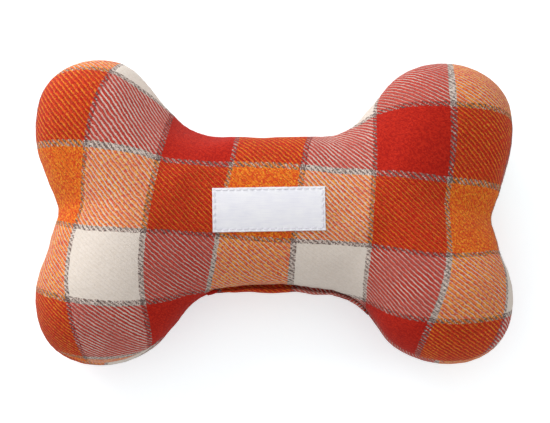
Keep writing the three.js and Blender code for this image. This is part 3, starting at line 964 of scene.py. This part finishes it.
class Graph:
    """The nodes of a material or world, with short calls for those that are used here."""

    def __init__(self, owner):
        owner.use_nodes = True
        self.nodes = owner.node_tree.nodes
        self.links = owner.node_tree.links

    def feed(self, socket, value):
        if isinstance(value, bpy.types.NodeSocket):
            self.links.new(value, socket)
        else:
            socket.default_value = value

    def node(self, kind, inputs, **settings):
        made = self.nodes.new(kind)
        for key, value in settings.items():
            setattr(made, key, value)
        for key, value in inputs.items():
            self.feed(made.inputs[key], value)
        return made

    def math(self, operation, a, b=0.0, c=0.0):
        return self.node("ShaderNodeMath", {0: a, 1: b, 2: c}, operation=operation).outputs[0]

    def plus(self, a, b):
        return self.math("ADD", a, b)

    def minus(self, a, b):
        return self.math("SUBTRACT", a, b)

    def times(self, a, b):
        return self.math("MULTIPLY", a, b)

    def range(self, value, low_in, high_in, low_out, high_out):
        inputs = {0: value, 1: low_in, 2: high_in, 3: low_out, 4: high_out}
        return self.node("ShaderNodeMapRange", inputs).outputs[0]

    def mix(self, share, a, b, blend="MIX"):
        inputs = {0: share, 6: a, 7: b}
        return self.node("ShaderNodeMix", inputs, data_type="RGBA", blend_type=blend).outputs[2]

    def noise(self, vector, scale, detail=2.0, roughness=0.5):
        inputs = {"Vector": vector, "Scale": scale, "Detail": detail, "Roughness": roughness}
        return self.node("ShaderNodeTexNoise", inputs).outputs

    def white(self, x, y, z=0.0):
        vector = self.node("ShaderNodeCombineXYZ", {0: x, 1: y, 2: z}).outputs[0]
        return self.node("ShaderNodeTexWhiteNoise", {"Vector": vector}).outputs["Value"]

    def steps(self, share, colours):
        """One of the colours, in equal steps of share from 0 to 1."""
        ramp = self.node("ShaderNodeValToRGB", {0: share})
        ramp.color_ramp.interpolation = "CONSTANT"
        stops = ramp.color_ramp.elements
        while len(stops) < len(colours):
            stops.new(0.5)
        for k, colour in enumerate(colours):
            stops[k].position = k / len(colours)
            stops[k].color = colour
        return ramp.outputs[0]

    def seen(self):
        """1 for what the camera sees, directly, in gloss or through something clear, and 0 for light."""
        path = self.node("ShaderNodeLightPath", {}).outputs
        direct = self.math("MAXIMUM", path["Is Camera Ray"], path["Is Glossy Ray"])
        return self.math("MAXIMUM", direct, path["Is Transmission Ray"])

    def place(self):
        return self.node("ShaderNodeTexCoord", {}).outputs["Object"]

    def stretched(self, vector, x, y, z):
        return self.node("ShaderNodeMapping", {"Vector": vector, "Scale": (x, y, z)}).outputs[0]


class Finish(Graph):
    """A material round its one shader."""

    def __init__(self, name, roughness, **fixed):
        self.material = bpy.data.materials.new(name)
        super().__init__(self.material)
        self.shader = self.nodes["Principled BSDF"]
        self.feed(self.shader.inputs["Roughness"], roughness)
        for key, value in fixed.items():
            self.feed(self.shader.inputs[key.replace("_", " ")], value)

    def bump(self, height, distance, strength=1.0):
        inputs = {"Height": height, "Distance": distance, "Strength": strength}
        self.feed(self.shader.inputs["Normal"], self.node("ShaderNodeBump", inputs).outputs[0])

    def colour(self, value):
        self.feed(self.shader.inputs["Base Color"], value)
        return self.material


# Wool tints: each yarn is spun of its tints, in short dashes
CREAM = (srgb(222, 211, 201), srgb(220, 209, 198), srgb(218, 206, 194))
RED = (srgb(176, 32, 17), srgb(186, 38, 20), srgb(162, 24, 14))
ORANGE = (srgb(230, 144, 42), srgb(216, 98, 26), srgb(202, 66, 28), srgb(222, 116, 32))
PALE_FIBRE = srgb(236, 150, 96)
MARL = (srgb(88, 74, 72), srgb(168, 148, 140), srgb(128, 110, 104), srgb(208, 192, 184), srgb(100, 84, 80))


def yarn(g, across, along, pitch, seed):
    """The thread at a place: colour, brightness, how far across it, if it is marl, a random share."""
    scaled = g.math("DIVIDE", across, pitch)
    number = g.math("FLOOR", scaled)
    check = g.math("DIVIDE", g.times(g.plus(number, 0.5), pitch), CHECK_PITCH)
    stripe = g.math("FLOOR", g.math("FLOORED_MODULO", check, 3.0))
    edge = g.times(g.math("PINGPONG", check, 0.5), CHECK_PITCH)
    marl = g.math("LESS_THAN", edge, MARL_WIDTH / 2)
    phase = g.times(g.white(number, seed), 9.0)
    spun = g.math("DIVIDE", along, g.range(marl, 0.0, 1.0, DASH, MARL_DASH))
    tint = g.white(number, g.math("FLOOR", g.plus(spun, phase)), seed)
    colour = g.mix(g.math("COMPARE", stripe, 1.0, 0.5), g.steps(tint, CREAM), g.steps(tint, RED))
    colour = g.mix(g.math("COMPARE", stripe, 2.0, 0.5), colour, g.steps(tint, ORANGE))
    colour = g.mix(marl, colour, g.steps(tint, MARL))
    brightness = g.node("ShaderNodeRGBToBW", {0: colour}).outputs[0]
    return colour, brightness, g.math("FRACT", scaled), marl, tint


def drifted(g, flat, scale, reach):
    """The place on the weave, wandering by up to about half the reach as hand-spun yarns do."""
    drift = g.node("ShaderNodeVectorMath", {0: g.noise(flat, scale, 4.0)["Color"], 1: (0.5, 0.5, 0.5)},
                   operation="SUBTRACT").outputs[0]
    drift = g.node("ShaderNodeVectorMath", {0: drift, "Scale": reach}, operation="SCALE").outputs[0]
    moved = g.node("ShaderNodeVectorMath", {0: flat, 1: drift}, operation="ADD").outputs[0]
    parts = g.node("ShaderNodeSeparateXYZ", {0: moved}).outputs
    return parts[0], g.times(parts[1], -1.0)


def twill(g, flat):
    """Two-and-two twill: woven and blurred colours, how far its two yarns differ, groove and bulge."""
    column, down = drifted(g, flat, 300.0, 0.0013)
    warp, warp_bright, _, warp_marl, _ = yarn(g, column, down, WARP_PITCH, 1.0)
    weft, weft_bright, weft_within, weft_marl, uneven = yarn(g, down, column, WEFT_PITCH, 2.0)
    diagonal = g.minus(g.math("DIVIDE", column, WARP_PITCH), g.math("DIVIDE", down, WEFT_PITCH))
    from_ridge = g.minus(g.math("FLOORED_MODULO", g.minus(diagonal, 0.5), 4.0), 2.0)
    paler = g.minus(warp_bright, weft_bright)
    plain = g.minus(1.0, g.math("MAXIMUM", warp_marl, weft_marl))
    covered = g.times(g.range(paler, -0.15, 0.15, -0.42, 0.12), plain)
    bulge = g.math("SINE", g.times(weft_within, math.pi))
    ragged = g.plus(g.times(bulge, 0.2), g.times(uneven, 0.4))
    half = g.plus(g.plus(0.7, covered), ragged)
    weft_up = g.math("LESS_THAN", g.math("ABSOLUTE", from_ridge), half)
    woven = g.mix(weft_up, warp, weft)
    blurred = g.mix(0.12, g.mix(1.0, weft, warp, "DARKEN"), g.mix(1.0, weft, warp, "LIGHTEN"))
    # The groove is a real hollow in the bump, and the wool's colour is also painted darker along it as
    # shade
    groove = g.range(g.math("ABSOLUTE", g.minus(from_ridge, half)), 0.0, 0.6, 1.0, 0.0)
    return woven, blurred, g.math("ABSOLUTE", paler), groove, bulge


def brushed(g, flat, woven, blurred, apart):
    """The woven colours under the haze and pale flecks that brushing raises where two yarns differ."""
    patches = g.range(g.noise(flat, 55.0, 3.0)["Fac"], 0.35, 0.65, 0.16, 0.58)
    wisps = g.range(g.noise(flat, 1500.0, 3.0)["Fac"], 0.4, 0.7, 0.0, 0.35)
    haze = g.times(g.plus(patches, wisps), g.range(apart, 0.05, 0.3, 0.4, 1.0))
    flecks = g.range(g.noise(flat, 1900.0, 2.0)["Fac"], 0.56, 0.7, 0.0, 0.3)
    flecks = g.times(flecks, g.range(apart, 0.02, 0.1, 0.0, 1.0))
    return g.mix(flecks, g.mix(haze, woven, blurred), PALE_FIBRE)


def plaid_wool(name):
    """Brushed wool of cream, red and orange checks with marled lines between them, and shade painted along
    its twill grooves.
    """
    g = Finish(name, 0.92, Sheen_Weight=0.06, Sheen_Roughness=0.5, Specular_IOR_Level=0.1)
    flat = g.node("ShaderNodeUVMap", {}, uv_map="cloth").outputs[0]
    woven, blurred, apart, groove, bulge = twill(g, flat)
    fibres = g.noise(flat, 2600.0, 4.0, 0.7)["Fac"]
    clumps = g.noise(flat, 420.0, 3.0)["Fac"]
    tone = g.plus(g.range(fibres, 0.3, 0.7, 0.92, 1.1), g.range(clumps, 0.3, 0.7, -0.03, 0.03))
    # Painted shade: the colour darkens along each twill groove, more where its two yarns differ; the tone
    # of fibres and clumps differs at random
    groove_shade_depth = g.range(apart, 0.02, 0.15, 0.04, 0.6)
    tone = g.minus(tone, g.times(groove, groove_shade_depth))
    tone_and_groove_shade = g.node("ShaderNodeCombineXYZ", {0: tone, 1: tone, 2: tone}).outputs[0]
    height = g.plus(g.times(bulge, 0.3), g.plus(fibres, clumps))
    g.bump(g.minus(height, g.times(groove, 0.6)), 0.0002, 0.6)
    return g.colour(g.mix(1.0, brushed(g, flat, woven, blurred, apart), tone_and_groove_shade, "MULTIPLY"))


def sewing_thread(name, colour, shade):
    """Twisted thread: fine slanting ply, slightly glossy, with shade painted into the grooves of the ply.
    """
    g = Finish(name, 0.55, Sheen_Weight=0.2, Specular_IOR_Level=0.4)
    place = g.place()
    ply = g.node("ShaderNodeTexWave", {"Vector": place, "Scale": 900.0, "Distortion": 3.0}).outputs["Fac"]
    g.bump(ply, 0.00006)
    worn = g.noise(place, 1200.0, 3.0)["Fac"]
    # Painted shade: the colour goes to the shade colour in the ply's grooves, and also in random patches
    return g.colour(g.mix(g.range(g.plus(ply, worn), 0.4, 1.6, 0.0, 1.0), shade, colour))


def satin(name):
    """Cool white woven ribbon: close threads along its length, a soft gloss, faint tone changes."""
    g = Finish(name, 0.45, Sheen_Weight=0.15, Specular_IOR_Level=0.45)
    place = g.place()
    parts = g.node("ShaderNodeSeparateXYZ", {0: place}).outputs
    lengthwise = g.math("SINE", g.times(parts[1], 2 * math.pi / RIBBON_PITCH))
    crosswise = g.math("SINE", g.times(parts[0], 2 * math.pi / RIBBON_PICK))
    slub = g.noise(g.stretched(place, 120.0, 2200.0, 120.0), 1.0, 3.0)["Fac"]
    g.bump(g.plus(g.plus(lengthwise, slub), g.times(crosswise, 0.4)), 0.00004)
    tone = g.plus(slub, g.noise(place, 160.0)["Fac"])
    return g.colour(g.mix(g.range(tone, 0.7, 1.3, 0.0, 1.0), srgb(240, 240, 249), srgb(251, 251, 255)))


def fibre_fill(name):
    g = Finish(name, 0.95, Sheen_Weight=0.4, Specular_IOR_Level=0.2, Subsurface_Weight=0.1)
    place = g.place()
    strands = g.noise(g.stretched(place, 500.0, 140.0, 300.0), 1.0, 6.0, 0.7)["Fac"]
    tufts = g.noise(place, 180.0, 5.0, 0.65)["Fac"]
    g.bump(g.plus(strands, tufts), 0.0008)
    return g.colour(g.mix(g.range(tufts, 0.3, 0.7, 0.0, 1.0), srgb(214, 212, 206), srgb(248, 247, 243)))


def moulded_plastic(name, colour, shade, roughness, grain):
    """Smooth plastic: slight cloudiness in the colour, fine moulding grain in the gloss and the surface."""
    g = Finish(name, roughness, Specular_IOR_Level=0.5)
    place = g.place()
    cloud = g.noise(place, 120.0, 4.0)["Fac"]
    fine = g.noise(place, grain, 3.0)["Fac"]
    g.feed(g.shader.inputs["Roughness"], g.range(fine, 0.3, 0.7, roughness - 0.08, roughness + 0.1))
    g.bump(fine, 0.00003)
    return g.colour(g.mix(g.range(cloud, 0.35, 0.65, 0.0, 1.0), shade, colour))


# Stage

def area_light(name, place, target, size, watts):
    light = bpy.data.lights.new(name, "AREA")
    light.shape = "DISK"
    light.size = size
    light.energy = watts
    obj = linked(name, light)
    obj.location = place
    obj.rotation_euler = (Vector(target) - Vector(place)).to_track_quat("-Z", "Y").to_euler()


def white_floor():
    """Pale floor that the camera sees brighter, so that it reads white outside the shadow."""
    corners = [(x * FLOOR_HALF, y * FLOOR_HALF, 0) for x, y in ((-1, -1), (1, -1), (1, 1), (-1, 1))]
    floor = new_object("floor", corners, [(0, 1, 2, 3)])
    g = Finish("floor_paper", 0.9)
    g.feed(g.shader.inputs["Emission Color"], FLOOR_TINT)
    g.feed(g.shader.inputs["Emission Strength"], g.times(g.seen(), FLOOR_LIFT))
    grain = g.noise(g.place(), 400.0)["Fac"]
    floor.data.materials.append(g.colour(g.mix(grain, (0.82, 0.875, 0.89, 1), (0.86, 0.915, 0.93, 1))))


def soft_world():
    """Even light from all round; the camera, gloss and clear things see it white."""
    world = bpy.data.worlds.new("studio")
    bpy.context.scene.world = world
    g = Graph(world)
    background = g.nodes["Background"].inputs
    g.feed(background["Strength"], g.range(g.seen(), 0.0, 1.0, WORLD_LEVEL, 1.0))
    g.feed(background["Color"], (1, 1, 1, 1))


def photo_camera():
    camera = bpy.data.cameras.new("camera")
    camera.sensor_width = SENSOR_WIDTH
    camera.lens = SENSOR_WIDTH * CAMERA_DISTANCE / VIEW_WIDTH
    obj = linked("camera", camera)
    back = Vector((0, -math.cos(CAMERA_ELEVATION), math.sin(CAMERA_ELEVATION)))
    obj.location = CAMERA_TARGET + back * CAMERA_DISTANCE
    obj.rotation_euler = (math.pi / 2 - CAMERA_ELEVATION, 0, 0)
    bpy.context.scene.camera = obj


def dress(obj, body, material, slot, *nodes):
    """Finishes a piece: its material, the CAD nodes that it stands for, and the body that it rides on."""
    obj.data.materials.append(material)
    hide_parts(*nodes)
    if body:
        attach(obj, body)


body = stuffed_body()
cut_at_seam(body)
drape_cloth(body)
pucker_seam(body)
set_coordinates(body, settle_on_floor(lean(crease(coordinates(body), SEAM_CREASE))))
front_cover = panel_from(body, "front_cover", 1)
rear_cover = panel_from(body, "rear_cover", -1)
bpy.data.objects.remove(body)
for panel, side, shift in ((front_cover, 1, FRONT_SHIFT), (rear_cover, -1, REAR_SHIFT)):
    lay_on_grain(panel, unwrap_flat(panel), shift, side < 0)
    finish_panel(panel, side)
wool = plaid_wool("plaid_wool")
dress(front_cover, None, wool, "plaid_wool", "front_panel")
dress(rear_cover, "rear_half", wool, "plaid_wool", "rear_panel")

surface = BVHTree.FromObject(front_cover, bpy.context.evaluated_depsgraph_get())
label = sewn_label(surface)
stitches = label_stitches(surface)
dress(label, "front_half", satin("label_satin"), "label_satin", "label")
dress(stitches, "front_half", sewing_thread("label_thread", srgb(238, 236, 245), srgb(212, 207, 219)),
      "label_thread", "label_thread")

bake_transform(front_cover)

seam_finish = sewing_thread("seam_thread", srgb(172, 40, 30), srgb(120, 22, 18))
dress(lockstitch("seam_needle_stitches", 1), "rear_half", seam_finish, "seam_thread", "seam_needle_thread")
dress(lockstitch("seam_bobbin_stitches", -1), "rear_half", seam_finish, "seam_thread", "seam_bobbin_thread")
dress(ladder_stitches("closing_stitches"), "rear_half", seam_finish, "seam_thread", "closing_thread")

fill_finish = fibre_fill("fibre_fill")
for part in ("near_left_lobe", "near_right_lobe", "far_left_lobe", "far_right_lobe",
             "below_squeaker", "above_squeaker"):
    mass = fluffed("fill_" + part, "fluff_" + part)
    dress(mass, None, fill_finish, "fibre_fill", "fill_" + part)
    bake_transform(mass)

pouch = bladder()
pouch_finish = moulded_plastic("bladder_plastic", srgb(240, 240, 234), srgb(224, 224, 214), 0.4, 900.0)
dress(pouch, "rear_half", pouch_finish, "bladder_plastic", "squeaker_bladder")
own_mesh(pouch)
reed_finish = moulded_plastic("reed_plastic", srgb(246, 246, 246), srgb(234, 234, 234), 0.25, 1500.0)
dress(reed_sleeve(), "reed_holder", reed_finish, "reed_plastic", "reed_tube")
for name in ("reed_bed", "reed_wedge"):
    frame["nodes"][name].material_slots[0].material = reed_finish
film = moulded_plastic("reed_film", srgb(226, 234, 240), srgb(206, 218, 228), 0.2, 2200.0)
frame["nodes"]["reed"].material_slots[0].material = film

bpy.context.scene.view_settings.view_transform = "Standard"
white_floor()
soft_world()
area_light("key", KEY_PLACE, (0, 0, 0), KEY_SIZE, KEY_WATTS)
photo_camera()
